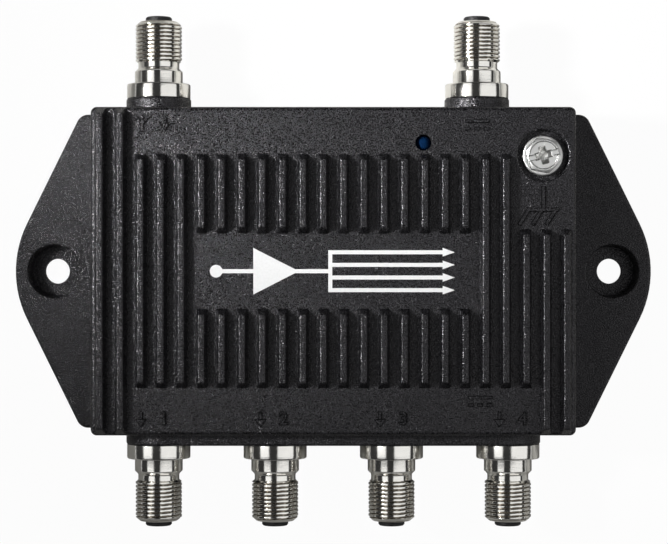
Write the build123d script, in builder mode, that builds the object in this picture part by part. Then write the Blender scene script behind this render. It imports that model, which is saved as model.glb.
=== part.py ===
from build123d import *
import math
import os

# Antenna distribution amplifier in a die-cast box with six threaded coaxial ports.
# Millimetres and degrees.
# X runs along the box, Y from the output side to the input side, Z out of the front.
# The origin is the middle of the back plane, which rests on the wall.

os.makedirs("parts", exist_ok=True)

# Housing, outside
body_length = 96.0
body_height = 65.0
panel_z = 23.0
body_draft = 1.25
body_corner_radius = 1.2
panel_edge_radius = 0.8

# Housing, inside
side_wall = 4.0
end_wall = 4.0
front_wall = 2.5
cavity_corner_radius = 3.0

# Mounting ears
ear_thickness = 6.5
ear_from_body_end = 0.2
ear_corner_centre_from_body = 2.55
ear_corner_radius = 2.5
ear_arc_centre_in_body = 4.6
ear_arc_radius = 22.1
ear_edge_radius = 0.6
ear_hole_from_body = 9.5
ear_hole_diameter = 5.2
ear_recess_depth = 4.5
ear_recess_floor_diameter = 10.1
ear_recess_rim_diameter = 10.7
ear_recess_rim_radius = 0.4

# Cooling ribs, counted from the left
rib_base_width = 2.3
rib_top_width = 1.3
rib_height = 2.2
rib_end_slope = 1.1
rib_edge_radius = 0.4
rib_root = 0.9
full_rib_count = 2
left_field_rib_count = 3
split_rib_count = 14
right_field_rib_count = 2
low_rib_count = 1
low_edge_rib_count = 2
rib_from_body_side = 2.0
rib_from_body_end = 0.3
rib_field_from_body_end = 9.35
name_band_half_height = 7.4
low_rib_from_ground_screw = 14.6

# Ports
port_axis_z = 12.5
output_count = 4
output_from_body_side = 12.6
antenna_port_from_body_side = 12.6
power_port_from_body_side = 18.9
boss_diameter = 13.1
boss_protrusion = 2.4
boss_edge_radius = 0.4
shank_diameter = 10.0
collar_diameter = 12.8
collar_length = 2.95
collar_edge = 0.25
shoulder_diameter = 9.66
shoulder_length = 2.5
shoulder_cone_length = 0.7
neck_diameter = 8.3
neck_length = 1.15
thread_diameter = 9.34
thread_pitch = 0.79375
thread_turns = 9
thread_lead_in = 0.4
thread_crest_share = 0.4
thread_root_share = 0.1
thread_flank_angle = 30.0
tip_chamfer_length = 0.75
tip_diameter = 7.6
shell_bore_diameter = 6.5
shell_lip_bore_diameter = 5.4
shell_lip_length = 1.0
shell_roll_length = 0.4
shell_roll_bore_diameter = 5.6

# Inside each port
insulator_clearance = 0.05
insulator_nose_protrusion = 1.0
insulator_nose_edge = 0.25
insulator_length = 9.6
entry_hole_diameter = 1.3
entry_length = 1.5
entry_funnel_depth = 0.5
contact_tube_diameter = 2.2
contact_bore_diameter = 1.1
contact_bore_depth = 8.0
contact_slit_width = 0.3
contact_slit_length = 6.0
contact_clearance = 0.05
tail_diameter = 1.0
tail_reach = 4.6
tail_to_board = 0.1

# Back cover
cover_thickness = 1.5
gasket_thickness = 0.5
rebate_width = 2.0
rebate_corner_radius = 3.0
cover_clearance = 0.15
cover_post_diameter = 6.0
cover_post_from_side = 2.5
cover_post_from_end = 2.5
cover_screw_diameter = 2.5
cover_screw_length = 8.0
cover_screw_head_diameter = 4.7
cover_screw_turn = 45.0
countersink_angle = 90.0
cover_hole_clearance = 0.15
thread_clearance = 0.03
screw_hole_spare = 1.0
recess_width = 0.7
recess_depth = 0.8

# Circuit board and its posts
board_thickness = 1.6
board_edge_clearance = 1.0
board_corner_radius = 0.5
board_post_diameter = 5.5
board_post_from_side = 5.5
board_post_from_input_end = 15.5
board_post_from_output_end = 12.5
board_screw_diameter = 2.5
board_screw_length = 5.5
board_screw_head_diameter = 4.6
board_screw_head_height = 1.6
board_screw_turn = 0.0

# Status light
led_from_power_port = 11.3
led_from_body_end = 7.1
led_diameter = 3.0
led_hole_clearance = 0.1
led_recess = 0.5
led_length = 5.3
led_flange_diameter = 3.8
led_flange_thickness = 1.0
led_lead_width = 0.5
led_lead_spacing = 2.54
lead_hole_clearance = 0.1
lead_tail = 0.9

# Earthing screw
ground_from_body_side = 6.5
ground_from_body_end = 9.6
ground_recess_diameter = 10.2
ground_recess_depth = 2.0
ground_recess_edge_radius = 0.35
ground_pillar_diameter = 9.2
ground_pillar_depth = 12.0
ground_thread_diameter = 4.166
ground_thread_pitch = 0.79375
ground_running_clearance = 0.05
ground_shank_length = 9.5
ground_tip_diameter = 2.9
ground_flange_diameter = 8.0
ground_flange_thickness = 0.8
ground_flange_chamfer = 0.36
ground_hex_width = 6.35
ground_hex_height = 1.7
ground_hex_turn = 47.0
ground_hex_edge = 0.2
ground_dish_diameter = 5.5
ground_dish_depth = 0.3
ground_slot_width = 1.2
ground_slot_depth = 0.9
ground_slot_turn = 14.0
ground_cross_length = 3.6
ground_cross_width = 1.3
ground_cross_depth = 1.3
washer_diameter = 7.7
washer_hole_diameter = 4.6
washer_thickness = 0.5
washer_notches = 10
washer_notch_depth = 0.8
washer_notch_width = 0.7

# Amplifier chip, on the front face of the board under a pedestal
chip_x = -8.0
chip_y = 3.0
chip_length = 6.2
chip_width = 5.0
chip_height = 1.7
chip_edge = 0.2
chip_standoff = 0.1
chip_lead_count = 4
chip_lead_pitch = 1.27
chip_lead_width = 0.42
chip_lead_thickness = 0.2
chip_lead_knee = 0.4
chip_lead_reach = 1.1
thermal_pad_length = 9.0
thermal_pad_width = 8.0
thermal_pad_thickness = 0.5
pedestal_margin = 1.0

# Shield can, on the rear face
shield_from_board_side = 18.0
shield_from_board_end = 19.5
shield_length = 22.0
shield_width = 17.0
shield_height = 4.5
shield_sheet = 0.3
shield_corner_radius = 1.0

# Power parts, on the rear face
regulator_from_power_port = 16.1
regulator_from_board_end = 11.0
regulator_length = 6.5
regulator_width = 6.1
regulator_height = 2.3
regulator_tab_thickness = 0.5
regulator_tab_reach = 1.6
regulator_lead_width = 0.8
regulator_lead_reach = 2.2
regulator_lead_spacing = 4.56
capacitor_from_power_port = 3.1
capacitor_from_board_end = 19.0
capacitor_gap = 11.0
capacitor_diameter = 8.0
capacitor_length = 9.0
capacitor_base_width = 8.3
capacitor_base_height = 1.2
capacitor_edge_radius = 0.6
choke_from_regulator = 12.5
choke_diameter = 6.0
choke_height = 5.0
choke_flange = 0.8
choke_hub_diameter = 3.0
choke_winding_diameter = 5.2
arrester_from_port = 8.5
arrester_from_board_end = 5.0
arrester_length = 5.0
arrester_width = 4.2
arrester_edge_radius = 0.4

# Splitter, on the rear face
splitter_first_from_board_end = 20.5
splitter_second_from_board_end = 14.0
core_length = 6.5
core_width = 5.0
core_height = 3.6
core_hole_diameter = 1.6
core_hole_spacing = 3.0
winding_wire_diameter = 0.5
winding_overhang = 0.8
winding_corner_radius = 0.6

# Small parts, on the rear face beside each port
chip_part_from_end = 7.5
chip_part_spacing = 3.4
chip_capacitor_size = (1.6, 0.8, 0.8)
chip_resistor_size = (1.6, 0.8, 0.45)
chip_inductor_size = (2.5, 2.0, 1.8)

# Solder
solder_length = 2.8
solder_width = 2.2
solder_height = 1.2
solder_top_share = 0.55
solder_from_board_edge = 2.0
solder_cone_diameter = 1.5
solder_cone_tip_diameter = 1.0

# Share by which the radius of an edge may differ from the one looked for
radius_tolerance = 0.001

# Worked out from the values above
ceiling_z = panel_z - front_wall
cavity_length = body_length - 2 * side_wall
cavity_height = body_height - 2 * end_wall
rebate_depth = cover_thickness + gasket_thickness
rebate_length = cavity_length + 2 * rebate_width
rebate_height = cavity_height + 2 * rebate_width
draft_growth = panel_z * math.tan(math.radians(body_draft))
boss_face = body_height / 2 + boss_protrusion
shank_length = boss_face - cavity_height / 2
board_rear_z = port_axis_z + tail_diameter / 2 + tail_to_board
board_front_z = board_rear_z + board_thickness
board_length = cavity_length - 2 * board_edge_clearance
board_height = cavity_height - 2 * board_edge_clearance
antenna_port_x = antenna_port_from_body_side - body_length / 2
power_port_x = body_length / 2 - power_port_from_body_side
output_pitch = (body_length - 2 * output_from_body_side) / (output_count - 1)
outputs = [(column - (output_count - 1) / 2) * output_pitch for column in range(output_count)]
cover_post_x = cavity_length / 2 - cover_post_from_side
cover_post_y = cavity_height / 2 - cover_post_from_end
cover_posts = [(x, y) for x in (-cover_post_x, 0, cover_post_x) for y in (-cover_post_y, cover_post_y)]
board_post_x = cavity_length / 2 - board_post_from_side
board_post_upper_y = cavity_height / 2 - board_post_from_input_end
board_post_lower_y = board_post_from_output_end - cavity_height / 2
board_posts = [
    (x, y) for x in (-board_post_x, board_post_x) for y in (board_post_lower_y, board_post_upper_y)
]
led_x = power_port_x - led_from_power_port
led_y = body_height / 2 - led_from_body_end
ground_x = body_length / 2 - ground_from_body_side
ground_y = body_height / 2 - ground_from_body_end
ear_hole_x = body_length / 2 + ear_hole_from_body
shield_x = shield_from_board_side - board_length / 2
shield_y = board_height / 2 - shield_from_board_end
regulator_x = power_port_x - regulator_from_power_port
regulator_y = board_height / 2 - regulator_from_board_end
choke_y = regulator_y - choke_from_regulator
capacitor_x = power_port_x - capacitor_from_power_port
capacitor_y = board_height / 2 - capacitor_from_board_end
ports = {"antenna_in": (antenna_port_x, 1), "dc_in": (power_port_x, 1)}
ports.update({f"out_{number + 1}": (x, -1) for number, x in enumerate(outputs)})

# Distances along a port, from the face of its boss
collar_end = collar_length
shoulder_end = collar_end + shoulder_length
cone_end = shoulder_end + shoulder_cone_length
neck_end = cone_end + neck_length
thread_start = neck_end + thread_lead_in
thread_end = thread_start + thread_turns * thread_pitch
shell_end = thread_end + tip_chamfer_length
lip_start = shell_end - shell_lip_length
insulator_start = lip_start - insulator_length
nose_end = shell_end + insulator_nose_protrusion
contact_end = nose_end - entry_length

# Heights of the earthing screw
recess_floor_z = panel_z - ground_recess_depth
ground_seat_z = recess_floor_z + washer_thickness
ground_flange_z = ground_seat_z + ground_flange_thickness
ground_top_z = ground_flange_z + ground_hex_height


def save(piece, name):
    """Label a finished piece and write it."""
    piece.part.label = name
    export_step(piece.part, f"parts/{name}.step")


def port_plane(x, side):
    """Plane on a boss's face: its X is across the port, its Y points out of the port."""
    return Plane(origin=(x, side * boss_face, port_axis_z), x_dir=(1, 0, 0), z_dir=(0, 0, side))


def port_axis(x, side):
    return Axis((x, side * boss_face, port_axis_z), (0, side, 0))


def across_port(x, side, distance):
    """Plane square to a port at a distance out from its boss's face."""
    return Plane(origin=(x, side * (boss_face + distance), port_axis_z), x_dir=(1, 0, 0), z_dir=(0, side, 0))


def rounded_box(length, height, radius, start, end, mode):
    with BuildSketch(Plane.XY.offset(start)) as outline:
        RectangleRounded(length, height, radius)
    extrude(outline.sketch, amount=end - start, mode=mode)


def same_radius(circles, radius):
    return circles.filter_by(lambda edge: math.isclose(edge.radius, radius, rel_tol=radius_tolerance))


def thread_profile(radius, pitch, start, turns):
    """Points of a 60 degree thread's outline, as radius and distance, from start outwards."""
    crest = pitch * thread_crest_share
    root = pitch * thread_root_share
    flank = (pitch - crest - root) / 2
    depth = flank / math.tan(math.radians(thread_flank_angle))
    points = []
    for turn in range(turns):
        foot = start + turn * pitch
        points.append((radius, foot))
        points.append((radius, foot + crest))
        if turn < turns - 1:
            points.append((radius - depth, foot + crest + flank))
            points.append((radius - depth, foot + crest + flank + root))
    return points


# Housing


def rib(length):
    """Cooling rib with sloping ends that stands on its own XY plane, with a root below it."""
    with BuildPart() as piece:
        with BuildSketch():
            Rectangle(rib_base_width, length)
        with BuildSketch(Plane.XY.offset(rib_height)):
            Rectangle(rib_top_width, length - 2 * rib_end_slope)
        loft()
        foot = piece.faces().sort_by(Axis.Z)[0]
        fillet(piece.edges() - foot.edges(), rib_edge_radius)
        with BuildSketch():
            Rectangle(rib_base_width, length)
        extrude(amount=-rib_root)
    return piece.part


def rib_places():
    """Centres of the ribs, listed under each length of rib.

    The columns run from the left: full-height ribs, ribs over the field, ribs split by the name's band,
    ribs over the field again, and ribs cut short under the earthing screw.
    """
    body_end = body_height / 2 - rib_from_body_end
    field = body_height / 2 - rib_field_from_body_end
    low_top = ground_y - low_rib_from_ground_screw
    kinds = [[(-body_end, body_end)]] * full_rib_count
    kinds += [[(-field, field)]] * left_field_rib_count
    kinds += [[(-field, -name_band_half_height), (name_band_half_height, field)]] * split_rib_count
    kinds += [[(-field, field)]] * right_field_rib_count
    kinds += [[(-field, low_top)]] * low_rib_count
    kinds += [[(-body_end, low_top)]] * low_edge_rib_count
    pitch = (body_length - 2 * rib_from_body_side) / (len(kinds) - 1)
    places = {}
    for column, spans in enumerate(kinds):
        x = (column - (len(kinds) - 1) / 2) * pitch
        for low, high in spans:
            places.setdefault(round(high - low, 6), []).append((x, (low + high) / 2, panel_z))
    return places


ribs = [(rib(length), centres) for length, centres in rib_places().items()]

with BuildPart() as input_bosses:
    for name in ("antenna_in", "dc_in"):
        with BuildSketch(across_port(*ports[name], -shank_length)):
            Circle(boss_diameter / 2)
        extrude(amount=shank_length)
    fillet(input_bosses.faces().group_by(Axis.Y)[-1].edges(), boss_edge_radius)

with BuildPart() as output_boss:
    with BuildSketch(across_port(0, -1, -shank_length)):
        with Locations(*[(x, 0) for x in (outputs[0], outputs[-1])]):
            Circle(boss_diameter / 2)
        make_hull()
    extrude(amount=shank_length)
    fillet(output_boss.faces().sort_by(Axis.Y)[0].edges(), boss_edge_radius)

with BuildPart() as housing:
    with BuildSketch():
        for end in (-1, 1):
            with Locations((end * (body_length / 2 - ear_arc_centre_in_body), 0)):
                Circle(ear_arc_radius)
            with GridLocations(0, body_height - 2 * (ear_from_body_end + ear_corner_radius), 1, 2):
                with Locations((end * (body_length / 2 + ear_corner_centre_from_body), 0)):
                    Circle(ear_corner_radius)
        make_hull()
    extrude(amount=ear_thickness)
    fillet(housing.faces().sort_by(Axis.Z)[-1].edges(), ear_edge_radius)

    with BuildSketch():
        RectangleRounded(
            body_length + 2 * draft_growth,
            body_height + 2 * draft_growth,
            body_corner_radius + draft_growth,
        )
    extrude(amount=panel_z, taper=body_draft)
    fillet(housing.faces().sort_by(Axis.Z)[-1].edges(), panel_edge_radius)

    add(input_bosses.part)
    add(output_boss.part)

    rounded_box(cavity_length, cavity_height, cavity_corner_radius, 0, ceiling_z, Mode.SUBTRACT)
    rounded_box(rebate_length, rebate_height, rebate_corner_radius, 0, rebate_depth, Mode.SUBTRACT)

    with BuildSketch(Plane.XY.offset(rebate_depth)):
        with Locations(*cover_posts):
            Circle(cover_post_diameter / 2)
    extrude(amount=ceiling_z - rebate_depth)
    with BuildSketch(Plane.XY.offset(board_front_z)):
        with Locations(*board_posts):
            Circle(board_post_diameter / 2)
        with Locations((chip_x, chip_y)):
            Rectangle(thermal_pad_length + 2 * pedestal_margin, thermal_pad_width + 2 * pedestal_margin)
    extrude(amount=ceiling_z - board_front_z)
    with BuildSketch(Plane.XY.offset(board_front_z)):
        with Locations((chip_x, chip_y)):
            Rectangle(thermal_pad_length + 2 * pedestal_margin, thermal_pad_width + 2 * pedestal_margin)
    extrude(amount=chip_standoff + chip_height + thermal_pad_thickness, mode=Mode.SUBTRACT)
    with BuildSketch(Plane.XY.offset(recess_floor_z - ground_pillar_depth)):
        with Locations((ground_x, ground_y)):
            Circle(ground_pillar_diameter / 2)
    extrude(amount=ground_pillar_depth)

    with BuildSketch(Plane.XY.offset(rebate_depth)):
        with Locations(*cover_posts):
            Circle(cover_screw_diameter / 2 + thread_clearance)
    extrude(amount=cover_screw_length - rebate_depth + screw_hole_spare, mode=Mode.SUBTRACT)
    with BuildSketch(Plane.XY.offset(board_front_z)):
        with Locations(*board_posts):
            Circle(board_screw_diameter / 2 + thread_clearance)
    extrude(amount=board_screw_length - board_thickness + screw_hole_spare, mode=Mode.SUBTRACT)

    for x, side in ports.values():
        with BuildSketch(across_port(x, side, -shank_length)):
            Circle(shank_diameter / 2)
        extrude(amount=shank_length, mode=Mode.SUBTRACT)

    with BuildSketch(Plane.XY.offset(ceiling_z)):
        with Locations((led_x, led_y)):
            Circle(led_diameter / 2 + led_hole_clearance)
    extrude(amount=front_wall, mode=Mode.SUBTRACT)

    with BuildSketch(Plane.XY.offset(panel_z)):
        with Locations((ground_x, ground_y)):
            Circle(ground_recess_diameter / 2)
    extrude(amount=-ground_recess_depth, mode=Mode.SUBTRACT)
    panel_circles = housing.faces().sort_by(Axis.Z)[-1].edges().filter_by(GeomType.CIRCLE)
    fillet(same_radius(panel_circles, ground_recess_diameter / 2), ground_recess_edge_radius)
    with BuildSketch(Plane.XY.offset(recess_floor_z)):
        with Locations((ground_x, ground_y)):
            Circle(ground_thread_diameter / 2 + ground_running_clearance)
    extrude(amount=washer_thickness - ground_shank_length - screw_hole_spare, mode=Mode.SUBTRACT)

    recess_z = ear_thickness - ear_recess_depth
    for end in (-1, 1):
        with BuildSketch():
            with Locations((end * ear_hole_x, 0)):
                Circle(ear_hole_diameter / 2)
        extrude(amount=ear_thickness, mode=Mode.SUBTRACT)
        with BuildSketch(Plane.XY.offset(recess_z)):
            with Locations((end * ear_hole_x, 0)):
                Circle(ear_recess_floor_diameter / 2)
        with BuildSketch(Plane.XY.offset(ear_thickness)):
            with Locations((end * ear_hole_x, 0)):
                Circle(ear_recess_rim_diameter / 2)
        loft(mode=Mode.SUBTRACT)
    circles = housing.edges().filter_by(GeomType.CIRCLE)
    fillet(same_radius(circles, ear_recess_rim_diameter / 2), ear_recess_rim_radius)

    for piece, centres in ribs:
        with Locations(*centres):
            add(piece)
save(housing, "housing")

# Ports


def shell_outline():
    """Outline of a port's shell as radius and distance from the boss's face, outside then bore."""
    collar = collar_diameter / 2
    neck = neck_diameter / 2
    outside = [
        (shank_diameter / 2, -shank_length),
        (shank_diameter / 2, 0),
        (collar, 0),
        (collar, collar_end - collar_edge),
        (collar - collar_edge, collar_end),
        (shoulder_diameter / 2, collar_end),
        (shoulder_diameter / 2, shoulder_end),
        (neck, cone_end),
        (neck, neck_end),
    ]
    outside += thread_profile(thread_diameter / 2, thread_pitch, thread_start, thread_turns)
    bore = [
        (tip_diameter / 2, shell_end),
        (shell_lip_bore_diameter / 2, shell_end),
        (shell_lip_bore_diameter / 2, lip_start),
        (shell_bore_diameter / 2, lip_start),
        (shell_bore_diameter / 2, shell_roll_length - shank_length),
        (shell_roll_bore_diameter / 2, shell_roll_length - shank_length),
        (shell_roll_bore_diameter / 2, -shank_length),
    ]
    return outside + bore


def insulator_outline():
    body = shell_bore_diameter / 2 - insulator_clearance
    nose = shell_lip_bore_diameter / 2 - insulator_clearance
    inner = contact_tube_diameter / 2 + contact_clearance
    entry = entry_hole_diameter / 2
    return [
        (inner, insulator_start),
        (body, insulator_start),
        (body, lip_start),
        (nose, lip_start),
        (nose, nose_end - insulator_nose_edge),
        (nose - insulator_nose_edge, nose_end),
        (entry + entry_funnel_depth, nose_end),
        (entry, nose_end - entry_funnel_depth),
        (entry, contact_end + contact_clearance),
        (inner, contact_end + contact_clearance),
    ]


def bead_outline():
    body = shell_bore_diameter / 2 - insulator_clearance
    hole = tail_diameter / 2 + contact_clearance
    start = shell_roll_length - shank_length
    return [(hole, start), (body, start), (body, insulator_start), (hole, insulator_start)]


def contact_outline():
    tube = contact_tube_diameter / 2
    tail = tail_diameter / 2
    bore = contact_bore_diameter / 2
    shoulder = insulator_start + contact_clearance
    bore_start = contact_end - contact_bore_depth
    return [
        (0, -shank_length - tail_reach),
        (tail, -shank_length - tail_reach),
        (tail, shoulder),
        (tube, shoulder),
        (tube, contact_end),
        (bore, contact_end),
        (bore, bore_start),
        (0, bore_start),
    ]


def turned(outline, x, side):
    """Piece turned about a port's axis from its outline."""
    with BuildPart() as piece:
        with BuildSketch(port_plane(x, side)):
            with BuildLine():
                Polyline(*outline, close=True)
            make_face()
        revolve(axis=port_axis(x, side))
    return piece


for name, (x, side) in ports.items():
    save(turned(shell_outline(), x, side), f"{name}_shell")
    save(turned(insulator_outline(), x, side), f"{name}_insulator")
    save(turned(bead_outline(), x, side), f"{name}_rear_bead")
    with BuildPart() as contact:
        add(turned(contact_outline(), x, side).part)
        with BuildSketch(across_port(x, side, contact_end)):
            Rectangle(contact_tube_diameter, contact_slit_width)
        extrude(amount=-contact_slit_length, mode=Mode.SUBTRACT)
    save(contact, f"{name}_contact")

# Back cover, its seal and its screws

cover_length = rebate_length - 2 * cover_clearance
cover_height = rebate_height - 2 * cover_clearance
cover_corner_radius = rebate_corner_radius - cover_clearance
cover_hole_radius = cover_screw_diameter / 2 + cover_hole_clearance

with BuildPart() as back_cover:
    rounded_box(cover_length, cover_height, cover_corner_radius, 0, cover_thickness, Mode.ADD)
    with Locations(*[Location((x, y, 0), (180, 0, 0)) for x, y in cover_posts]):
        CounterSinkHole(
            radius=cover_hole_radius,
            counter_sink_radius=cover_screw_head_diameter / 2,
            depth=cover_thickness,
            counter_sink_angle=countersink_angle,
        )
save(back_cover, "back_cover")

with BuildPart() as cover_gasket:
    with BuildSketch(Plane.XY.offset(cover_thickness)):
        RectangleRounded(cover_length, cover_height, cover_corner_radius)
        RectangleRounded(cavity_length, cavity_height, cavity_corner_radius, mode=Mode.SUBTRACT)
        with Locations(*cover_posts):
            Circle(cover_post_diameter / 2)
            Circle(cover_hole_radius, mode=Mode.SUBTRACT)
    extrude(amount=gasket_thickness)
save(cover_gasket, "cover_gasket")


def cross_recess(width, length, depth, from_plane, turn):
    """Cut a cross-shaped driver recess into the part being built."""
    with BuildSketch(from_plane) as cross:
        Rectangle(length, width, rotation=turn)
        Rectangle(width, length, rotation=turn)
    extrude(cross.sketch, amount=-depth, mode=Mode.SUBTRACT)


head_taper = (cover_screw_head_diameter - cover_screw_diameter) / 2
head_cone = head_taper / math.tan(math.radians(countersink_angle / 2))

with BuildPart() as cover_screws:
    for x, y in cover_posts:
        with BuildSketch():
            with Locations((x, y)):
                Circle(cover_screw_head_diameter / 2)
        with BuildSketch(Plane.XY.offset(head_cone)):
            with Locations((x, y)):
                Circle(cover_screw_diameter / 2)
        loft()
        with BuildSketch(Plane.XY.offset(head_cone)):
            with Locations((x, y)):
                Circle(cover_screw_diameter / 2)
        extrude(amount=cover_screw_length - head_cone)
        cross_recess(
            recess_width,
            cover_screw_diameter,
            recess_depth,
            Plane(origin=(x, y, 0), x_dir=(1, 0, 0), z_dir=(0, 0, -1)),
            cover_screw_turn,
        )
save(cover_screws, "cover_screws")

# Circuit board

corner_cut = 2 * (board_edge_clearance + cover_post_diameter / 2)
ground_cut_x = board_length / 2 - (ground_x - ground_pillar_diameter / 2 - board_edge_clearance)
ground_cut_y = board_height / 2 - (ground_y - ground_pillar_diameter / 2 - board_edge_clearance)
post_cut_x = board_length / 2 - (cover_post_x - cover_post_diameter / 2 - board_edge_clearance)
post_cut_y = board_height / 2 - (cover_post_y - cover_post_diameter / 2 - board_edge_clearance)


def corner_notch(x_sign, y_sign, cut_x, cut_y):
    """Rectangle in a corner of the board, sized from the post that stands there."""
    with Locations((x_sign * (board_length - cut_x) / 2, y_sign * (board_height - cut_y) / 2)):
        Rectangle(cut_x, cut_y, mode=Mode.SUBTRACT)


with BuildPart() as circuit_board:
    with BuildSketch(Plane.XY.offset(board_rear_z)):
        Rectangle(board_length, board_height)
        for x_sign in (-1, 1):
            for y_sign in (-1, 1):
                corner_notch(x_sign, y_sign, post_cut_x, post_cut_y)
        corner_notch(1, 1, ground_cut_x, ground_cut_y)
        for y_sign in (-1, 1):
            with Locations((0, y_sign * (board_height - post_cut_y) / 2)):
                Rectangle(corner_cut, post_cut_y, mode=Mode.SUBTRACT)
        with Locations(*board_posts):
            Circle(board_screw_diameter / 2 + cover_hole_clearance, mode=Mode.SUBTRACT)
        with Locations((led_x, led_y)):
            with GridLocations(led_lead_spacing, 0, 2, 1):
                Circle(led_lead_width / math.sqrt(2) + lead_hole_clearance, mode=Mode.SUBTRACT)
    extrude(amount=board_thickness)
    fillet(circuit_board.edges().filter_by(Axis.Z).filter_by(GeomType.LINE), board_corner_radius)
save(circuit_board, "circuit_board")

with BuildPart() as board_screws:
    for x, y in board_posts:
        head_plane = Plane.XY.offset(board_rear_z - board_screw_head_height)
        with BuildSketch(head_plane):
            with Locations((x, y)):
                Circle(board_screw_head_diameter / 2)
        extrude(amount=board_screw_head_height)
        with BuildSketch(Plane.XY.offset(board_rear_z)):
            with Locations((x, y)):
                Circle(board_screw_diameter / 2)
        extrude(amount=board_screw_length)
        cross_recess(
            recess_width,
            board_screw_diameter,
            recess_depth,
            Plane(origin=(x, y, board_rear_z - board_screw_head_height), x_dir=(1, 0, 0), z_dir=(0, 0, -1)),
            board_screw_turn,
        )
save(board_screws, "board_screws")

# Status light

led_top_z = panel_z - led_recess
led_base_z = led_top_z - led_length

with BuildPart() as led_lens:
    with BuildSketch(Plane.XY.offset(led_base_z)):
        with Locations((led_x, led_y)):
            Circle(led_flange_diameter / 2)
    extrude(amount=led_flange_thickness)
    with BuildSketch(Plane.XY.offset(led_base_z)):
        with Locations((led_x, led_y)):
            Circle(led_diameter / 2)
    extrude(amount=led_length - led_diameter / 2)
    with Locations((led_x, led_y, led_top_z - led_diameter / 2)):
        Sphere(led_diameter / 2)
save(led_lens, "led_lens")

with BuildPart() as led_leads:
    with BuildSketch(Plane.XY.offset(board_rear_z - lead_tail)):
        with Locations((led_x, led_y)):
            with GridLocations(led_lead_spacing, 0, 2, 1):
                Rectangle(led_lead_width, led_lead_width)
    extrude(amount=led_base_z - board_rear_z + lead_tail)
save(led_leads, "led_leads")

# Solder at the contact tails and at the light's leads


def tail_joint(x, side):
    """Solder round a contact's tail on the rear face of the board."""
    y = side * (board_height / 2 - solder_from_board_edge)
    with BuildSketch(Plane.XY.offset(board_rear_z)) as foot:
        with Locations((x, y)):
            Rectangle(solder_width, solder_length)
    with BuildSketch(Plane.XY.offset(board_rear_z - solder_height)) as crown:
        with Locations((x, y)):
            Rectangle(solder_width * solder_top_share, solder_length * solder_top_share)
    loft([foot.sketch.face(), crown.sketch.face()])


with BuildPart() as solder_joints:
    for x, side in ports.values():
        tail_joint(x, side)
    for x, side in ports.values():
        with BuildSketch(across_port(x, side, -shank_length)):
            Circle(tail_diameter / 2)
        extrude(amount=-tail_reach, mode=Mode.SUBTRACT)
    for lead in (-1, 1):
        centre = (led_x + lead * led_lead_spacing / 2, led_y)
        with BuildSketch(Plane.XY.offset(board_rear_z)):
            with Locations(centre):
                Circle(solder_cone_diameter / 2)
        with BuildSketch(Plane.XY.offset(board_rear_z - lead_tail)):
            with Locations(centre):
                Circle(solder_cone_tip_diameter / 2)
        loft()
        with BuildSketch(Plane.XY.offset(board_rear_z)):
            with Locations(centre):
                Rectangle(led_lead_width, led_lead_width)
        extrude(amount=-lead_tail, mode=Mode.SUBTRACT)
save(solder_joints, "solder_joints")

# Earthing screw and its toothed washer


def ground_shank_outline():
    """Half outline of the threaded shank, as radius and height."""
    radius = ground_thread_diameter / 2
    turns = int(ground_shank_length / ground_thread_pitch) - 1
    tip_z = ground_seat_z - ground_shank_length
    thread_top = ground_seat_z - ground_thread_pitch
    points = [(0, ground_seat_z), (radius, ground_seat_z)]
    rings = thread_profile(radius, ground_thread_pitch, 0, turns)
    points += [(ring_radius, thread_top - distance) for ring_radius, distance in rings]
    points += [(ground_tip_diameter / 2, tip_z), (0, tip_z)]
    return points


with BuildPart() as ground_screw:
    screw_plane = Plane(origin=(ground_x, ground_y, 0), x_dir=(1, 0, 0), z_dir=(0, -1, 0))
    with BuildSketch(screw_plane):
        with BuildLine():
            Polyline(*ground_shank_outline(), close=True)
        make_face()
    revolve(axis=Axis((ground_x, ground_y, 0), (0, 0, 1)))
    with BuildSketch(Plane.XY.offset(ground_seat_z)):
        with Locations((ground_x, ground_y)):
            Circle(ground_flange_diameter / 2)
    extrude(amount=ground_flange_thickness)
    chamfer(ground_screw.faces().sort_by(Axis.Z)[-1].edges(), ground_flange_chamfer)
    with BuildSketch(Plane.XY.offset(ground_flange_z)):
        with Locations((ground_x, ground_y)):
            RegularPolygon(ground_hex_width / 2, 6, major_radius=False, rotation=ground_hex_turn)
    extrude(amount=ground_hex_height)
    head_top = Plane(origin=(ground_x, ground_y, ground_top_z))
    chamfer(ground_screw.faces().sort_by(Axis.Z)[-1].edges(), ground_hex_edge)
    with BuildSketch(head_top):
        Circle(ground_dish_diameter / 2)
    extrude(amount=-ground_dish_depth, mode=Mode.SUBTRACT)
    with BuildSketch(head_top):
        Rectangle(ground_flange_diameter, ground_slot_width, rotation=ground_slot_turn)
    extrude(amount=-ground_slot_depth, mode=Mode.SUBTRACT)
    cross_recess(ground_cross_width, ground_cross_length, ground_cross_depth, head_top, ground_slot_turn)
save(ground_screw, "ground_screw")

with BuildPart() as ground_washer:
    with BuildSketch(Plane.XY.offset(recess_floor_z)):
        with Locations((ground_x, ground_y)):
            Circle(washer_diameter / 2)
            Circle(washer_hole_diameter / 2, mode=Mode.SUBTRACT)
            with PolarLocations(washer_hole_diameter / 2, washer_notches):
                Rectangle(2 * washer_notch_depth, washer_notch_width, mode=Mode.SUBTRACT)
    extrude(amount=washer_thickness)
save(ground_washer, "ground_washer")

# Amplifier chip

chip_base_z = board_front_z + chip_standoff
chip_top_z = chip_base_z + chip_height

with BuildPart() as amplifier_chip:
    with Locations((chip_x, chip_y, chip_base_z)):
        Box(chip_length, chip_width, chip_height, align=(Align.CENTER, Align.CENTER, Align.MIN))
    chamfer(amplifier_chip.faces().sort_by(Axis.Z)[-1].edges(), chip_edge)
save(amplifier_chip, "amplifier_chip")


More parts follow.
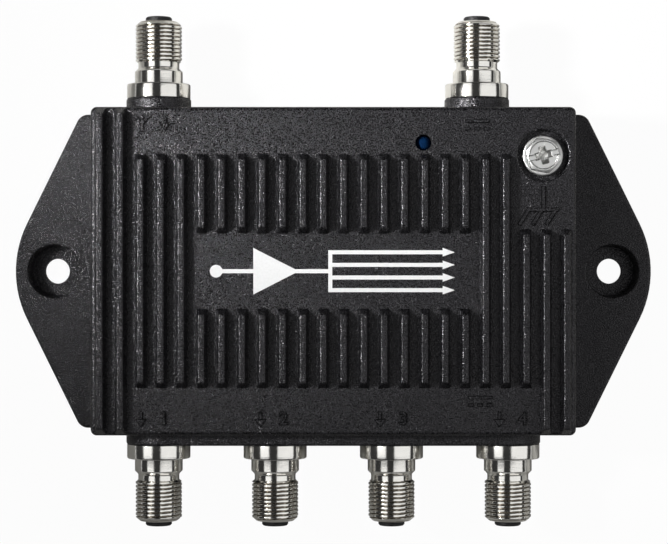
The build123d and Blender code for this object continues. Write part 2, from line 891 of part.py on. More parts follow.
def chip_lead_outline(side):
    """Bent lead seen along X: out of the chip's side, down, and out along the board."""
    mid_z = chip_base_z + chip_height / 2
    near = side * chip_width / 2
    knee = near + side * chip_lead_knee
    far = near + side * chip_lead_reach
    thick = chip_lead_thickness
    return [
        (near, mid_z),
        (knee + side * thick, mid_z),
        (knee + side * thick, board_front_z + thick),
        (far, board_front_z + thick),
        (far, board_front_z),
        (knee, board_front_z),
        (knee, mid_z - thick),
        (near, mid_z - thick),
    ]


with BuildPart() as chip_leads:
    for column in range(chip_lead_count):
        x = chip_x + (column - (chip_lead_count - 1) / 2) * chip_lead_pitch
        for side in (-1, 1):
            lead_plane = Plane(origin=(x, chip_y, 0), x_dir=(0, 1, 0), z_dir=(1, 0, 0))
            with BuildSketch(lead_plane):
                with BuildLine():
                    Polyline(*chip_lead_outline(side), close=True)
                make_face()
            extrude(amount=chip_lead_width / 2, both=True)
save(chip_leads, "chip_leads")

with BuildPart() as thermal_pad:
    with Locations((chip_x, chip_y, chip_top_z)):
        Box(
            thermal_pad_length,
            thermal_pad_width,
            thermal_pad_thickness,
            align=(Align.CENTER, Align.CENTER, Align.MIN),
        )
save(thermal_pad, "thermal_pad")

# Shield can over the input stage

with BuildPart() as shield_can:
    with Locations((shield_x, shield_y, board_rear_z - shield_height)):
        Box(shield_length, shield_width, shield_height, align=(Align.CENTER, Align.CENTER, Align.MIN))
    fillet(shield_can.edges().filter_by(Axis.Z), shield_corner_radius)
    offset(amount=-shield_sheet, openings=shield_can.faces().sort_by(Axis.Z)[-1])
save(shield_can, "shield_can")


def hanging_box(x, y, top_z, length, width, height):
    """Box whose upper face lies at top_z."""
    with Locations((x, y, top_z)):
        Box(length, width, height, align=(Align.CENTER, Align.CENTER, Align.MAX))


# Voltage regulator

tab_z = board_rear_z - regulator_tab_thickness

with BuildPart() as voltage_regulator:
    hanging_box(regulator_x, regulator_y, tab_z, regulator_length, regulator_width, regulator_height)
save(voltage_regulator, "voltage_regulator")

with BuildPart() as regulator_tab:
    tab_length = regulator_length - 2 * regulator_tab_thickness
    tab_width = regulator_width + regulator_tab_reach - regulator_lead_reach
    hanging_box(
        regulator_x,
        regulator_y + (regulator_tab_reach + regulator_lead_reach) / 2,
        board_rear_z,
        tab_length,
        tab_width,
        regulator_tab_thickness,
    )
    for lead in (-1, 1):
        hanging_box(
            regulator_x + lead * regulator_lead_spacing / 2,
            regulator_y - regulator_width / 2,
            board_rear_z,
            regulator_lead_width,
            2 * regulator_lead_reach,
            regulator_tab_thickness,
        )
save(regulator_tab, "regulator_tab")

# Filter capacitors

capacitor_places = [(capacitor_x, capacitor_y + row * capacitor_gap) for row in (-1, 0)]
can_z = board_rear_z - capacitor_base_height

with BuildPart() as filter_capacitors:
    with BuildSketch(Plane.XY.offset(can_z)):
        with Locations(*capacitor_places):
            Circle(capacitor_diameter / 2)
    extrude(amount=-capacitor_length)
    can_ends = filter_capacitors.faces().group_by(Axis.Z)[0]
    fillet(can_ends.edges(), capacitor_edge_radius)
save(filter_capacitors, "filter_capacitors")

with BuildPart() as capacitor_bases:
    for x, y in capacitor_places:
        hanging_box(x, y, board_rear_z, capacitor_base_width, capacitor_base_width, capacitor_base_height)
save(capacitor_bases, "capacitor_bases")

# Choke

with BuildPart() as choke_core:
    for top_z in (board_rear_z, board_rear_z - choke_height + choke_flange):
        with BuildSketch(Plane.XY.offset(top_z)):
            with Locations((regulator_x, choke_y)):
                Circle(choke_diameter / 2)
        extrude(amount=-choke_flange)
    with BuildSketch(Plane.XY.offset(board_rear_z)):
        with Locations((regulator_x, choke_y)):
            Circle(choke_hub_diameter / 2)
    extrude(amount=-choke_height)
save(choke_core, "choke_core")

with BuildPart() as choke_winding:
    with BuildSketch(Plane.XY.offset(board_rear_z - choke_flange)):
        with Locations((regulator_x, choke_y)):
            Circle(choke_winding_diameter / 2)
            Circle(choke_hub_diameter / 2, mode=Mode.SUBTRACT)
    extrude(amount=-(choke_height - 2 * choke_flange))
save(choke_winding, "choke_winding")

# Surge arrester beside the antenna input

with BuildPart() as surge_arrester:
    arrester_x = antenna_port_x + arrester_from_port
    arrester_y = board_height / 2 - arrester_from_board_end
    hanging_box(arrester_x, arrester_y, board_rear_z, arrester_length, arrester_width, arrester_width)
    fillet(surge_arrester.edges().filter_by(Axis.X), arrester_edge_radius)
save(surge_arrester, "surge_arrester")

# Splitter cores and windings

splitter_first_y = splitter_first_from_board_end - board_height / 2
splitter_second_y = splitter_second_from_board_end - board_height / 2
core_places = [
    (0, splitter_first_y),
    ((outputs[0] + outputs[1]) / 2, splitter_second_y),
    ((outputs[2] + outputs[3]) / 2, splitter_second_y),
]
core_mid_z = board_rear_z - core_height / 2

with BuildPart() as splitter_cores:
    for x, y in core_places:
        hanging_box(x, y, board_rear_z, core_length, core_width, core_height)
    for x, y in core_places:
        with BuildSketch(Plane(origin=(x, y, core_mid_z), x_dir=(1, 0, 0), z_dir=(0, 1, 0))):
            with GridLocations(core_hole_spacing, 0, 2, 1):
                Circle(core_hole_diameter / 2)
        extrude(amount=core_width / 2, both=True, mode=Mode.SUBTRACT)
save(splitter_cores, "splitter_cores")

with BuildPart() as splitter_windings:
    loop_x = core_hole_spacing / 2
    loop_y = core_width / 2 + winding_overhang
    for x, y in core_places:
        with BuildLine() as turn:
            FilletPolyline(
                (x - loop_x, y - loop_y, board_rear_z),
                (x - loop_x, y - loop_y, core_mid_z),
                (x - loop_x, y + loop_y, core_mid_z),
                (x + loop_x, y + loop_y, core_mid_z),
                (x + loop_x, y - loop_y, core_mid_z),
                (x + loop_x, y - loop_y, board_rear_z),
                radius=winding_corner_radius,
            )
        with BuildSketch(Plane(origin=turn.line @ 0, z_dir=turn.line % 0)):
            Circle(winding_wire_diameter / 2)
        sweep(path=turn.line)
save(splitter_windings, "splitter_windings")

# Small parts: a capacitor in line with each port, with an inductor and a resistor beside it


def small_parts(size, offset_x):
    with BuildPart() as group:
        for x, side in ports.values():
            y = side * (board_height / 2 - chip_part_from_end)
            hanging_box(x + offset_x, y, board_rear_z, *size)
    return group


save(small_parts(chip_capacitor_size, 0), "chip_capacitors")
save(small_parts(chip_inductor_size, chip_part_spacing), "chip_inductors")
save(small_parts(chip_resistor_size, -chip_part_spacing), "chip_resistors")
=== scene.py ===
import math

import bpy
from mathutils import Matrix, Vector


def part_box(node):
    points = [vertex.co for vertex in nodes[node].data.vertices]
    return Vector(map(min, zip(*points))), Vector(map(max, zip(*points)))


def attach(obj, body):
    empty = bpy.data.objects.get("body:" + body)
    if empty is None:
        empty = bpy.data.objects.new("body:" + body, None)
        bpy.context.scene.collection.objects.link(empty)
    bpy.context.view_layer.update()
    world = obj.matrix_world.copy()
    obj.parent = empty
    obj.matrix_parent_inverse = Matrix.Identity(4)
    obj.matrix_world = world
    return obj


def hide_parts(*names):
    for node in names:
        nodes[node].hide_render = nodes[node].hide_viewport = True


# Looks of a die-cast antenna distribution amplifier.
# Blender's unit is the metre. The sizes below are in millimetres and degrees, and those of the
# stage, at the end, in metres.

MM = 0.001
AMPLIFIER = "amplifier"
SCREW = "screw"

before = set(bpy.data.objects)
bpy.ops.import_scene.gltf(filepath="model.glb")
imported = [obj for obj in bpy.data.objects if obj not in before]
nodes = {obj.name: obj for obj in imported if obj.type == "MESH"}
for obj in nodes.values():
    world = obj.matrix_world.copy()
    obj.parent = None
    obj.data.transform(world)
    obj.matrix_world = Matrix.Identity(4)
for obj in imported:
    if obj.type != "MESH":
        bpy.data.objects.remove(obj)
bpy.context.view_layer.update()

PORTS = ("antenna_in", "dc_in", "out_1", "out_2", "out_3", "out_4")

# Port shells: turned steps from the rear end to the tip, then the bore from the tip to the rear
SHANK_DIAMETER = 10.0
COLLAR_DIAMETER = 12.8
COLLAR_LENGTH = 2.95
SHOULDER_DIAMETER = 9.66
SHOULDER_LENGTH = 2.5
SHOULDER_CONE = 0.7
NECK_DIAMETER = 8.3
NECK_LENGTH = 1.15
THREAD_DIAMETER = 9.34
THREAD_PITCH = 0.79375
THREAD_TURNS = 9
LEAD_IN = 0.4
TIP_CHAMFER = 0.75
TIP_DIAMETER = 7.6
LIP_BORE_DIAMETER = 5.4
LIP_LENGTH = 1.0
BORE_DIAMETER = 6.5
ROLL_BORE_DIAMETER = 5.6
ROLL_LENGTH = 0.4
COLLAR_REAR_RADIUS = 0.12
COLLAR_FRONT_RADIUS = 0.28
SHOULDER_ROOT_RADIUS = 0.12
SHOULDER_EDGE_RADIUS = 0.18
NECK_ROOT_RADIUS = 0.4
TIP_BREAK = 0.02
LIP_RADIUS = 0.15
PORT_SEGMENTS = 120
PORT_SMOOTH_ANGLE = 38

# Threads: shares of the pitch, of the height above the root and of a turn
THREAD_CREST_SHARE = 0.42
THREAD_DEPTH = 0.38
FLANK_STRAIGHTNESS = 0.35
# Share of the thread's height below which its roots take a darker nickel: painted shade.
PAINTED_SHADE_ROOT_SHARE = 0.38
TURN_BETWEEN_PORTS = 0.37
ROWS_PER_PITCH = 12

# Earthing screw
SCREW_THREAD_DIAMETER = 4.166
SCREW_SHANK = 9.5
SCREW_FLANGE_DIAMETER = 8.0
SCREW_FLANGE_THICKNESS = 0.8
SCREW_HEX_WIDTH = 6.35
SCREW_CORNER_RADIUS = SCREW_HEX_WIDTH / 2 * 1.13
SCREW_HEX_TURN = 17.0
SCREW_SLOT_TURN = 14.0
SCREW_SEGMENTS = 192
SCREW_SMOOTH_ANGLE = 42

# Its point, with radii as shares of the thread's
POINT_SHARE = 0.35
POINT_EDGE_SHARE = 0.62
POINT_EDGE_HEIGHT = 0.05
POINT_CONE_SHARE = 0.7
POINT_CONE_SLOPE = 0.8

# Its head, from the flange to the recess in the top
FLANGE_UNDER_RADIUS = 0.15
FLANGE_EDGE_RADIUS = 0.3
HEX_FOOT_SPREADS = ((0.10, -0.01), (0.02, 0.08))
HEX_SIDE_SHARES = (0.35, 0.7, 0.92)
CROWN_RADIUS = 3.0
CROWN_ANGLE = 28
HEAD_RINGS = 54
HEAD_RIM_INSET = 0.04
STEEP_HEAD_NORMAL = 0.72
RECESS_WALL = 0.22
DISH_RADIUS = 2.85
DISH_DEPTH = 0.3
SLOT_HALF_WIDTH = 0.66
SLOT_DEPTH = 0.85
CROSS_HALF_WIDTH = 0.8
CROSS_REACH = 1.9
CROSS_DEPTH = 0.45
CROSS_POINT_DEPTH = 2.6

# Panel
PANEL_Z = 23.0
RAISED_HEIGHT = 0.4
RAISED_DRAFT = 0.16
RELIEF_SINK = 0.1
MITRE_LIMIT = 0.4
FLAT_RELIEF_NORMAL = 0.9
STROKE = 0.72
PRINT_HEIGHT = 0.04

# Signs on the panel
SIGN_Y = 29.2
ARROW_X = -2.6
ARROW_ENDS = (1.5, -1.7)
ARROW_HEAD = 1.7
ARROW_HEAD_SPREAD = 0.72
NUMERAL_X = 2.0
NUMERAL_HEIGHT = 2.6
FONT_SIZE_SHARE = 1.38
AERIAL_SIGN_X = -37.8
UPPER_CURRENT_SIGN = (28.4, 28.9)
LOWER_CURRENT_SIGN = (29.0, -25.7)
EARTH_X = 41.5
EARTH_STROKE = 0.84


# Materials

COAT_GRAIN = 0.24


def new_material(name):
    """A material with a Principled shader, and object coordinates in millimetres."""
    material = bpy.data.materials.new(name)
    material.use_nodes = True
    tree = material.node_tree
    shader = tree.nodes["Principled BSDF"]
    place = tree.nodes.new("ShaderNodeTexCoord")
    scale = tree.nodes.new("ShaderNodeVectorMath")
    scale.operation = "SCALE"
    scale.inputs["Scale"].default_value = 1 / MM
    tree.links.new(place.outputs["Object"], scale.inputs[0])
    return material, tree, shader, scale.outputs[0]


def noise(tree, vector, size, detail=2.0, roughness=0.5):
    """Noise whose grains are about size millimetres across."""
    node = tree.nodes.new("ShaderNodeTexNoise")
    node.inputs["Scale"].default_value = 1 / size
    node.inputs["Detail"].default_value = detail
    node.inputs["Roughness"].default_value = roughness
    tree.links.new(vector, node.inputs["Vector"])
    return node.outputs["Fac"]


def stretch(tree, vector, factors):
    """The coordinates scaled along each axis."""
    node = tree.nodes.new("ShaderNodeVectorMath")
    node.operation = "MULTIPLY"
    node.inputs[1].default_value = factors
    tree.links.new(vector, node.inputs[0])
    return node.outputs[0]


def ramp(tree, value, low, high, start=0.3, end=0.7):
    """Colour from low to high as value goes from start to end."""
    node = tree.nodes.new("ShaderNodeValToRGB")
    node.color_ramp.elements[0].position = start
    node.color_ramp.elements[0].color = (*low, 1)
    node.color_ramp.elements[1].position = end
    node.color_ramp.elements[1].color = (*high, 1)
    tree.links.new(value, node.inputs["Fac"])
    return node.outputs["Color"]


def span(tree, value, low, high, start=0.0, end=1.0):
    """Value from start to end mapped from low to high."""
    node = tree.nodes.new("ShaderNodeMapRange")
    node.inputs["From Min"].default_value = start
    node.inputs["From Max"].default_value = end
    node.inputs["To Min"].default_value = low
    node.inputs["To Max"].default_value = high
    tree.links.new(value, node.inputs["Value"])
    return node.outputs["Result"]


def bump(tree, shader, height, depth, strength=1.0, after=None):
    """Bump of about depth millimetres."""
    node = tree.nodes.new("ShaderNodeBump")
    node.inputs["Strength"].default_value = strength
    node.inputs["Distance"].default_value = depth * MM
    tree.links.new(height, node.inputs["Height"])
    if after is not None:
        tree.links.new(after, node.inputs["Normal"])
    tree.links.new(node.outputs["Normal"], shader.inputs["Normal"])
    return node.outputs["Normal"]


def darker(color, factor):
    """The colour times a factor, lighter where that is above 1."""
    return tuple(channel * factor for channel in color)


def powder_coat(name, color):
    """Sandy powder coat: fine grains that catch the light, each with its own tone and gloss."""
    material, tree, shader, place = new_material(name)
    grains = noise(tree, place, COAT_GRAIN, detail=1.0, roughness=0.6)
    waves = noise(tree, place, 4 * COAT_GRAIN, detail=2.0)
    tones = ramp(tree, grains, darker(color, 0.1), darker(color, 1.3), start=0.43, end=0.62)
    tree.links.new(tones, shader.inputs["Base Color"])
    gloss = span(tree, grains, 0.165, 0.52, start=0.45, end=0.60)
    tree.links.new(gloss, shader.inputs["Roughness"])
    first = bump(tree, shader, waves, depth=0.02, strength=0.4)
    bump(tree, shader, grains, depth=0.115, after=first)
    shader.inputs["Specular IOR Level"].default_value = 0.67
    shader.inputs["Specular Tint"].default_value = (0.97, 0.95, 1.0, 1)
    return material


def plated(name, color, low, high, lines=0.0, cloud=2.5):
    """Plated metal with faint clouds in its gloss and, if asked, turning lines across Y."""
    material, tree, shader, place = new_material(name)
    shader.inputs["Metallic"].default_value = 1.0
    clouds = noise(tree, place, cloud, detail=3.0)
    tree.links.new(ramp(tree, clouds, darker(color, 0.93), color), shader.inputs["Base Color"])
    tree.links.new(span(tree, clouds, low, high), shader.inputs["Roughness"])
    grain = noise(tree, place, size=0.35)
    first = bump(tree, shader, grain, depth=0.010, strength=0.35)
    if lines:
        drawn_out = stretch(tree, place, (0.25, 14.0, 0.25))
        turned = noise(tree, drawn_out, size=1.0, detail=1.0)
        bump(tree, shader, turned, depth=lines, strength=0.5, after=first)
    return material


def moulded(name, color, low=0.4, high=0.55, grain_size=0.3, depth=0.02):
    """Moulded plastic or rubber with a fine skin."""
    material, tree, shader, place = new_material(name)
    grain = noise(tree, place, grain_size)
    clouds = noise(tree, place, size=3.0)
    tones = ramp(tree, clouds, darker(color, 0.88), darker(color, 1.1))
    tree.links.new(tones, shader.inputs["Base Color"])
    tree.links.new(span(tree, grain, low, high), shader.inputs["Roughness"])
    bump(tree, shader, grain, depth, strength=0.5)
    return material


def tinted_lens(name, color):
    """Clear dark plastic of an unlit light."""
    material, tree, shader, place = new_material(name)
    clouds = noise(tree, place, size=1.6, detail=1.0)
    tones = ramp(tree, clouds, darker(color, 0.75), darker(color, 1.25))
    tree.links.new(tones, shader.inputs["Base Color"])
    specks = noise(tree, place, size=0.5)
    tree.links.new(span(tree, specks, low=0.8, high=0.9), shader.inputs["Roughness"])
    shader.inputs["Specular IOR Level"].default_value = 0.05
    return material


def board_surface(name, mask, copper):
    """Solder mask over glass fibre, with slightly lighter copper tracks under it."""
    material, tree, shader, place = new_material(name)
    tracks = tree.nodes.new("ShaderNodeTexBrick")
    tracks.inputs["Scale"].default_value = 0.35
    tracks.inputs["Mortar Size"].default_value = 0.06
    tracks.inputs["Color1"].default_value = (*mask, 1)
    tracks.inputs["Color2"].default_value = (*darker(mask, 0.85), 1)
    tracks.inputs["Mortar"].default_value = (*copper, 1)
    tree.links.new(place, tracks.inputs["Vector"])
    tree.links.new(tracks.outputs["Color"], shader.inputs["Base Color"])
    weave = noise(tree, stretch(tree, place, (3.0, 3.0, 1.0)), size=0.8)
    tree.links.new(span(tree, weave, low=0.3, high=0.42), shader.inputs["Roughness"])
    bump(tree, shader, tracks.outputs["Fac"], depth=0.03, strength=0.6)
    return material


def printed(name, color):
    """Screen-printed ink: nearly flat, with the coat's grain showing through."""
    material, tree, shader, place = new_material(name)
    lumps = noise(tree, place, size=0.42, detail=3.0, roughness=0.6)
    tree.links.new(ramp(tree, lumps, darker(color, 0.93), color), shader.inputs["Base Color"])
    tree.links.new(span(tree, lumps, low=0.45, high=0.6), shader.inputs["Roughness"])
    bump(tree, shader, lumps, depth=0.05, strength=0.4)
    return material


COAT = powder_coat("black_powder_coat", (0.012, 0.0118, 0.0135))
NICKEL = plated("bright_nickel", (0.97, 0.955, 0.91), 0.07, 0.15, lines=0.012)
# Darker brownish nickel for the thread roots: painted shade in the grooves.
ROOT_NICKEL_PAINTED_SHADE = plated("nickel_with_painted_shade_in_thread_roots", (0.40, 0.365, 0.32), 0.2, 0.3)
ZINC = plated("bright_zinc", (0.98, 0.98, 0.965), 0.40, 0.50)
# Darker zinc for the steep walls of the screw's head: painted shade.
ZINC_PAINTED_SHADE = plated("zinc_with_painted_shade_on_head_walls", (0.36, 0.36, 0.35), 0.3, 0.4)
SATIN_STEEL = plated("satin_zinc_steel", (0.62, 0.62, 0.61), 0.28, 0.42)
BLACK_PLASTIC = moulded("black_moulding", (0.016, 0.016, 0.017), 0.32, 0.45)
NOSE_PLASTIC = moulded("black_port_nose", (0.008, 0.008, 0.009), 0.5, 0.62)
WHITE_BEAD = moulded("white_bead", (0.8, 0.8, 0.78))
RUBBER = moulded("black_rubber", (0.025, 0.025, 0.025), 0.7, 0.85)
GREY_PAD = moulded("grey_pad", (0.30, 0.33, 0.37), 0.7, 0.85)
CREAM = moulded("cream_ceramic", (0.78, 0.75, 0.68), 0.25, 0.35)
FERRITE = moulded("ferrite", (0.045, 0.042, 0.04), 0.6, 0.75, 0.12)
CHIP_PART = moulded("sintered_chip", (0.32, 0.23, 0.15), 0.4, 0.5)
GOLD = plated("gold_flash", (0.83, 0.62, 0.28), 0.18, 0.28)
TIN = plated("tin_plate", (0.72, 0.72, 0.70), 0.25, 0.38)
SOLDER = plated("solder", (0.74, 0.74, 0.75), 0.15, 0.3, cloud=0.8)
CAN = plated("can_aluminium", (0.80, 0.80, 0.80), 0.3, 0.42)
COPPER = plated("enamelled_copper", (0.72, 0.30, 0.12), 0.2, 0.3)
LENS = tinted_lens("dark_blue_lens", (0.0006, 0.0140, 0.0520))
BOARD = board_surface("green_board", (0.015, 0.10, 0.04), (0.03, 0.17, 0.07))
INK = printed("white_ink", (0.93, 0.93, 0.93))
# Near-black, nearly glossless coat for the sides of raised signs: painted shade along their
# edges.
COAT_SIDE_PAINTED_SHADE = moulded("painted_shade_on_sign_sides", (0.004, 0.004, 0.0045), 0.7, 0.8)
COAT_SIDE_PAINTED_SHADE.node_tree.nodes["Principled BSDF"].inputs["Specular IOR Level"].default_value = 0.1

NODE_MATERIALS = {
    "housing": COAT,
    "back_cover": COAT,
    "cover_gasket": RUBBER,
    "cover_screws": SATIN_STEEL,
    "board_screws": SATIN_STEEL,
    "circuit_board": BOARD,
    "solder_joints": SOLDER,
    "led_lens": LENS,
    "led_leads": TIN,
    "ground_screw": ZINC,
    "ground_washer": ZINC,
    "amplifier_chip": BLACK_PLASTIC,
    "chip_leads": TIN,
    "thermal_pad": GREY_PAD,
    "shield_can": TIN,
    "voltage_regulator": BLACK_PLASTIC,
    "regulator_tab": TIN,
    "filter_capacitors": CAN,
    "capacitor_bases": BLACK_PLASTIC,
    "choke_core": FERRITE,
    "choke_winding": COPPER,
    "surge_arrester": CREAM,
    "splitter_cores": FERRITE,
    "splitter_windings": COPPER,
    "chip_capacitors": CHIP_PART,
    "chip_inductors": FERRITE,
    "chip_resistors": BLACK_PLASTIC,
}
PORT_MATERIALS = {
    "shell": NICKEL,
    "insulator": NOSE_PLASTIC,
    "rear_bead": WHITE_BEAD,
    "contact": GOLD,
}
for port in PORTS:
    for kind, material in PORT_MATERIALS.items():
        NODE_MATERIALS[f"{port}_{kind}"] = material

for name, node in nodes.items():
    node.data.materials.clear()
    node.data.materials.append(NODE_MATERIALS[name])


# Meshes


def make_object(name, vertices, faces, material, smooth_angle=None):
    """A mesh object from points in metres. Faces at less than smooth_angle shade as one."""
    mesh = bpy.data.meshes.new(name)
    mesh.from_pydata([tuple(point) for point in vertices], [], faces)
    mesh.validate()
    mesh.update()
    piece = bpy.data.objects.new(name, mesh)
    bpy.context.collection.objects.link(piece)
    mesh.materials.append(material)
    if smooth_angle is not None:
        mesh.polygons.foreach_set("use_smooth", [True] * len(mesh.polygons))
        mesh.set_sharp_from_angle(angle=math.radians(smooth_angle))
    return piece


def grid_faces(rows, columns, closed_rows):
    """Quads of a grid that closes round its columns, and round its rows if asked."""
    faces = []
    for row in range(rows if closed_rows else rows - 1):
        upper = (row + 1) % rows
        for column in range(columns):
            right = (column + 1) % columns
            corners = ((row, column), (row, right), (upper, right), (upper, column))
            faces.append(tuple(level * columns + place for level, place in corners))
    return faces


def rounded(points, radii, steps=4):
    """A broken line with arcs at its inner points, radii given one for each inner point."""
    line = [Vector(points[0])]
    for before, corner, after, radius in zip(points, points[1:], points[2:], radii):
        before, corner, after = Vector(before), Vector(corner), Vector(after)
        back = (before - corner).normalized()
        forth = (after - corner).normalized()
        if not radius:
            line.append(corner)
            continue
        half = back.angle(forth) / 2
        reach = radius / math.tan(half)
        centre = corner + (back + forth).normalized() * radius / math.sin(half)
        start = corner + back * reach - centre
        end = corner + forth * reach - centre
        for step in range(steps + 1):
            line.append(centre + start.slerp(end, step / steps).normalized() * radius)
    line.append(Vector(points[-1]))
    return line


def ease(value):
    """Value kept between 0 and 1, with a soft start and a soft end."""
    value = min(1.0, max(0.0, value))
    return value * value * (3 - 2 * value)


def thread_share(phase):
    """Height of a rolled thread above its root, 0 to 1, at a phase from 0 to 1 of its pitch."""
    away = abs((phase + 0.5) % 1 - 0.5) * 2
    share = min(1.0, (1 - away) / (1 - THREAD_CREST_SHARE))
    return FLANK_STRAIGHTNESS * share + (1 - FLANK_STRAIGHTNESS) * ease(share)


def turned(place, reach, angle, height):
    """Point of a turned piece at a radius, an angle and a height in its own frame."""
    x, y = reach * math.cos(angle), reach * math.sin(angle)
    return place @ Vector((x * MM, y * MM, height * MM))


# Port shells


def shell_rows(length):
    """Rows of a port's shell, and the limits of its thread.

    A row is (distance from the rear, radius, threaded), and the last row joins the first.
    """
    tip = length
    thread_end = tip - TIP_CHAMFER
    thread_start = thread_end - THREAD_TURNS * THREAD_PITCH
    neck_end = thread_start - LEAD_IN
    cone_end = neck_end - NECK_LENGTH
    shoulder_end = cone_end - SHOULDER_CONE
    collar_end = shoulder_end - SHOULDER_LENGTH
    boss_face = collar_end - COLLAR_LENGTH
    front = rounded(
        [
            (0, SHANK_DIAMETER / 2),
            (boss_face, SHANK_DIAMETER / 2),
            (boss_face, COLLAR_DIAMETER / 2),
            (collar_end, COLLAR_DIAMETER / 2),
            (collar_end, SHOULDER_DIAMETER / 2),
            (shoulder_end, SHOULDER_DIAMETER / 2),
            (cone_end, NECK_DIAMETER / 2),
            (neck_end, NECK_DIAMETER / 2),
        ],
        [
            0,
            COLLAR_REAR_RADIUS,
            COLLAR_FRONT_RADIUS,
            SHOULDER_ROOT_RADIUS,
            SHOULDER_EDGE_RADIUS,
            NECK_ROOT_RADIUS,
        ],
    )
    rows = [(point.x, point.y, False) for point in front]
    steps = int((tip - neck_end) / THREAD_PITCH * ROWS_PER_PITCH)
    for step in range(1, steps):
        rows.append((neck_end + (tip - neck_end) * step / steps, THREAD_DIAMETER / 2, True))
    inner = rounded(
        [
            (tip - TIP_BREAK, TIP_DIAMETER / 2 + TIP_BREAK),
            (tip, TIP_DIAMETER / 2),
            (tip, LIP_BORE_DIAMETER / 2),
            (tip - LIP_LENGTH, LIP_BORE_DIAMETER / 2),
            (tip - LIP_LENGTH, BORE_DIAMETER / 2),
            (ROLL_LENGTH, BORE_DIAMETER / 2),
            (ROLL_LENGTH, ROLL_BORE_DIAMETER / 2),
            (0, ROLL_BORE_DIAMETER / 2),
        ],
        [0, LIP_RADIUS, 0, 0, 0, 0],
    )
    rows += [(point.x, point.y, False) for point in inner]
    limits = {"start": neck_end, "full": thread_start, "end": thread_end, "tip": tip}
    return rows, limits


def thread_phase(height, angle, turn=0.0):
    """Phase of a right-handed thread at a height above its start."""
    return height / THREAD_PITCH - angle / (2 * math.pi) + turn


def thread_radius(distance, angle, limits, turn):
    """Radius of the threaded stretch, cut back by the lead-in and the tip's chamfer."""
    phase = thread_phase(distance - limits["start"], angle, turn)
    radius = THREAD_DIAMETER / 2 - THREAD_DEPTH * (1 - thread_share(phase))
    lead = (distance - limits["start"]) / (limits["full"] - limits["start"])
    if lead < 1:
        radius = min(radius, NECK_DIAMETER / 2 + (THREAD_DIAMETER - NECK_DIAMETER) / 2 * lead)
    fall = (distance - limits["end"]) / (limits["tip"] - limits["end"])
    if fall > 0:
        radius = min(radius, (THREAD_DIAMETER - (THREAD_DIAMETER - TIP_DIAMETER) * fall) / 2)
    return radius


def port_place(node):
    """Matrix of a port's frame, Z outwards from the shell's rear, and the shell's length."""
    low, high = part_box(node)
    low, high = Vector(low), Vector(high)
    middle = (low + high) / 2
    side = 1 if middle.y > 0 else -1
    rear = Vector((middle.x, low.y if side > 0 else high.y, middle.z))
    axes = Matrix(((1, 0, 0), (0, 0, side), (0, -side, 0)))
    return Matrix.Translation(rear) @ axes.to_4x4(), (high.y - low.y) / MM


def port_shell(port, turn):
    """Turned and threaded shell, with a true right-handed thread."""
    node = f"{port}_shell"
    place, length = port_place(node)
    rows, limits = shell_rows(length)
    vertices = []
    for distance, radius, threaded in rows:
        for column in range(PORT_SEGMENTS):
            angle = 2 * math.pi * column / PORT_SEGMENTS
            reach = thread_radius(distance, angle, limits, turn) if threaded else radius
            vertices.append(turned(place, reach, angle, distance))
    faces = grid_faces(len(rows), PORT_SEGMENTS, True)
    shell = make_object(f"{port}_threaded_shell", vertices, faces, NICKEL, PORT_SMOOTH_ANGLE)
    # Faces deep in the thread's roots take the darker nickel: painted shade.
    shell.data.materials.append(ROOT_NICKEL_PAINTED_SHADE)
    for face in shell.data.polygons:
        distance, _, threaded = rows[face.index // PORT_SEGMENTS]
        angle = 2 * math.pi * (face.index % PORT_SEGMENTS) / PORT_SEGMENTS
        phase = thread_phase(distance - limits["start"], angle, turn)
        if threaded and thread_share(phase) < PAINTED_SHADE_ROOT_SHARE:
            face.material_index = 1
    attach(shell, AMPLIFIER)
    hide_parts(node)


for index, port in enumerate(PORTS):
    port_shell(port, index * TURN_BETWEEN_PORTS)


# Earthing screw


def hex_radius(angle):
    """Distance from the axis to the side of the hexagon, with its corners rounded."""
    turned_angle = angle - math.radians(SCREW_HEX_TURN) + math.pi / 2
    from_flat = turned_angle % (math.pi / 3) - math.pi / 6
    return min(SCREW_HEX_WIDTH / 2 / math.cos(from_flat), SCREW_CORNER_RADIUS)


def inside(limit, distance):
    """1 inside a recess's limit, falling to 0 at it over the width of the recess's wall."""
    return ease((limit - distance) / RECESS_WALL)


def head_dip(x, y):
    """Depth below the head's rim: a round dish, a slot across it and a cross in the middle."""
    radius = math.hypot(x, y)
    dish = DISH_DEPTH * inside(DISH_RADIUS, radius)
    turn = math.radians(SCREW_SLOT_TURN)
    along = abs(x * math.cos(turn) + y * math.sin(turn))
    across = abs(-x * math.sin(turn) + y * math.cos(turn))
    slot = SLOT_DEPTH * inside(SLOT_HALF_WIDTH, across)
    wing = inside(CROSS_HALF_WIDTH, along) * inside(CROSS_REACH, across)
    other = inside(CROSS_HALF_WIDTH, across) * inside(CROSS_REACH, along)
    slope = CROSS_POINT_DEPTH * max(0.0, 1 - radius / CROSS_REACH)
    cross = (CROSS_DEPTH + slope) * max(wing, other)
    return max(dish, slot, cross)


